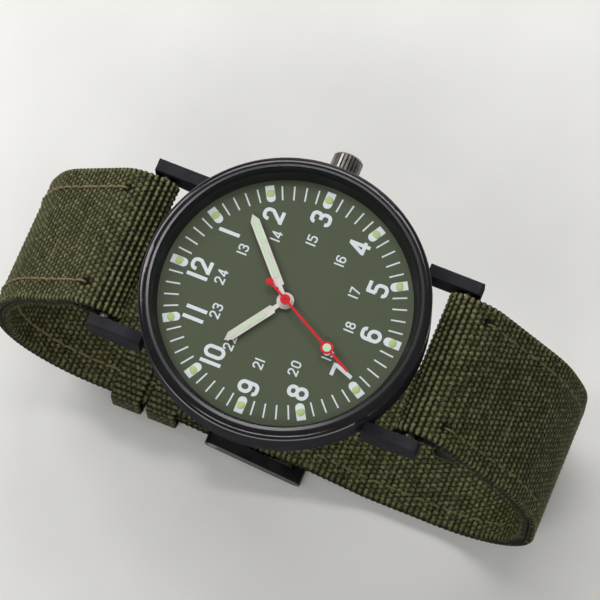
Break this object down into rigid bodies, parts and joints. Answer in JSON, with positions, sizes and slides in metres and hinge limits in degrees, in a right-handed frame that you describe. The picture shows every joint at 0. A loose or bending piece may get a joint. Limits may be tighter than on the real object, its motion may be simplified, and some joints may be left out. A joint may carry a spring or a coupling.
{
  "type": "field watch",
  "caption": "Field watch with a round black case, olive dial, luminous hands, fluted crown, quartz movement and a buckled woven strap.",
  "frame": {"origin": "centre of the crystal's flat top face", "axes": "+X towards the crown at 3 o'clock, +Y towards 12 o'clock, +Z out of the dial towards the viewer"},
  "size_m": [0.0434, 0.0838, 0.0523],
  "materials": {
    "case": "dark coated steel, satin",
    "bezel": "dark coated steel, satin",
    "crystal": "clear, polished",
    "seal": "matt",
    "flange": "matt black",
    "dial": "matt olive",
    "print": "matt off-white print",
    "lume": "pale luminous paint",
    "seconds_hand": "red lacquer",
    "hands": "pale satin",
    "plate": "nickel-plated",
    "screw_steel": "polished",
    "wheel_brass": "gilt",
    "wheel_plastic": "moulded",
    "rotor": "sintered magnet",
    "stator": "soft iron sheet",
    "coil": "copper wire winding",
    "cell": "bright steel can",
    "spring_steel": "satin",
    "board": "green laminate",
    "crown_steel": "satin steel",
    "holder": "moulded black",
    "back_steel": "brushed steel",
    "strap": "woven nylon, olive",
    "strap_loop": "woven nylon, olive",
    "buckle": "dark coated steel, satin"
  },
  "bodies": {
    "root": {"case_middle": "case", "bezel": "bezel", "crystal": "crystal", "crystal_gasket": "seal", "rehaut_ring": "flange", "dial": "dial", "hour_markers": "print", "marker_lume": "lume", "minute_track": "print", "hour_numerals": "print", "inner_numerals": "print", "main_plate": "plate", "train_bridge": "plate", "bridge_screws": "screw_steel", "stator": "stator", "drive_coil": "coil", "battery_cell": "cell", "battery_clamp": "spring_steel", "circuit_board": "board", "timing_crystal": "spring_steel", "crown_tube": "spring_steel", "movement_holder": "holder", "case_back": "back_steel", "case_back_gasket": "seal", "spring_bar_tube_12": "spring_steel", "spring_bar_tube_6": "spring_steel", "spring_bar_spring_12": "spring_steel", "spring_bar_spring_6": "spring_steel", "strap_buckle_half": "strap", "strap_tail_half": "strap", "fixed_keeper": "strap_loop"},
    "second": {"fourth_wheel": "wheel_brass", "second_hand": "seconds_hand", "second_hand_lume": "lume"},
    "third": {"third_wheel": "wheel_brass"},
    "minute": {"centre_wheel": "wheel_brass", "minute_hand": "hands", "minute_hand_lume": "lume"},
    "minute_transfer": {"minute_wheel": "wheel_brass"},
    "hour": {"hour_wheel": "wheel_brass", "hour_hand": "hands", "hour_hand_lume": "lume"},
    "intermediate": {"intermediate_wheel": "wheel_plastic"},
    "motor_rotor": {"rotor": "rotor"},
    "crown_slide": {"crown_gasket": "seal"},
    "crown": {"crown": "crown_steel", "stem": "spring_steel"},
    "setting_lever": {"setting_lever": "spring_steel"},
    "buckle": {"buckle_frame": "buckle", "buckle_bar": "buckle"},
    "tongue": {"buckle_tongue": "buckle"},
    "free_keeper": {"free_keeper": "strap_loop"},
    "tip_12_crown_side": {"spring_bar_tip_12_crown_side": "spring_steel"},
    "tip_12_far_side": {"spring_bar_tip_12_far_side": "spring_steel"},
    "tip_6_crown_side": {"spring_bar_tip_6_crown_side": "spring_steel"},
    "tip_6_far_side": {"spring_bar_tip_6_far_side": "spring_steel"}
  },
  "joints": [
    {"name": "second_hand_turn", "type": "hinge", "parent": "root", "child": "second", "pos_m": [0, 0, -0.00305], "axis": [0, 0, -1], "continuous": true},
    {"name": "third_wheel_turn", "type": "hinge", "parent": "root", "child": "third", "pos_m": [0, 0.0034, -0.00305], "axis": [0, 0, -1], "continuous": true},
    {"name": "minute_hand_turn", "type": "hinge", "parent": "root", "child": "minute", "pos_m": [0, 0, -0.00305], "axis": [0, 0, -1], "continuous": true},
    {"name": "minute_wheel_turn", "type": "hinge", "parent": "root", "child": "minute_transfer", "pos_m": [-0.0024, 0, -0.00305], "axis": [0, 0, -1], "continuous": true},
    {"name": "hour_hand_turn", "type": "hinge", "parent": "root", "child": "hour", "pos_m": [0, 0, -0.00305], "axis": [0, 0, -1], "continuous": true},
    {"name": "intermediate_wheel_turn", "type": "hinge", "parent": "root", "child": "intermediate", "pos_m": [0.00315, -0.00182, -0.00305], "axis": [0, 0, -1], "continuous": true},
    {"name": "rotor_turn", "type": "hinge", "parent": "root", "child": "motor_rotor", "pos_m": [0.00435, -0.0039, -0.00305], "axis": [0, 0, -1], "continuous": true},
    {"name": "crown_pull", "type": "slide", "parent": "root", "child": "crown_slide", "axis": [1, 0, 0], "range_m": [0, 0.001]},
    {"name": "crown_turn", "type": "hinge", "parent": "crown_slide", "child": "crown", "pos_m": [0.022, 0, -0.00505], "axis": [1, 0, 0], "continuous": true},
    {"name": "setting_lever_swing", "type": "hinge", "parent": "root", "child": "setting_lever", "pos_m": [0.009, 0.00375, -0.00565], "axis": [0, 0, 1], "range_deg": [0, 18.4]},
    {"name": "buckle_swing", "type": "hinge", "parent": "root", "child": "buckle", "pos_m": [0, 0.0075, -0.04765], "axis": [1, 0, 0], "range_deg": [0, 4]},
    {"name": "tongue_swing", "type": "hinge", "parent": "buckle", "child": "tongue", "pos_m": [0, 0.0075, -0.04765], "axis": [1, 0, 0], "range_deg": [0, 5]},
    {"name": "free_keeper_slide", "type": "slide", "parent": "root", "child": "free_keeper", "axis": [0, 1, 0], "range_m": [-0.0009, 0.002]},
    {"name": "spring_bar_12_crown_side_press", "type": "slide", "parent": "root", "child": "tip_12_crown_side", "axis": [-1, 0, 0], "range_m": [0, 0.001], "stiffness_N_per_m": 600, "springref_m": -0.0005, "deforming": ["spring_bar_spring_12"]},
    {"name": "spring_bar_12_far_side_press", "type": "slide", "parent": "root", "child": "tip_12_far_side", "axis": [1, 0, 0], "range_m": [0, 0.001], "stiffness_N_per_m": 600, "springref_m": -0.0005, "deforming": ["spring_bar_spring_12"]},
    {"name": "spring_bar_6_crown_side_press", "type": "slide", "parent": "root", "child": "tip_6_crown_side", "axis": [-1, 0, 0], "range_m": [0, 0.001], "stiffness_N_per_m": 600, "springref_m": -0.0005, "deforming": ["spring_bar_spring_6"]},
    {"name": "spring_bar_6_far_side_press", "type": "slide", "parent": "root", "child": "tip_6_far_side", "axis": [1, 0, 0], "range_m": [0, 0.001], "stiffness_N_per_m": 600, "springref_m": -0.0005, "deforming": ["spring_bar_spring_6"]}
  ],
  "couplings": [
    {"joint": "third_wheel_turn", "follows": "second_hand_turn", "ratio": -0.13333},
    {"joint": "minute_hand_turn", "follows": "second_hand_turn", "ratio": 0.016667},
    {"joint": "minute_wheel_turn", "follows": "second_hand_turn", "ratio": -0.0055556},
    {"joint": "hour_hand_turn", "follows": "second_hand_turn", "ratio": 0.0013889},
    {"joint": "intermediate_wheel_turn", "follows": "second_hand_turn", "ratio": -6},
    {"joint": "rotor_turn", "follows": "second_hand_turn", "ratio": 30},
    {"joint": "setting_lever_swing", "follows": "crown_pull", "rad_per_m": 317.8}
  ]
}
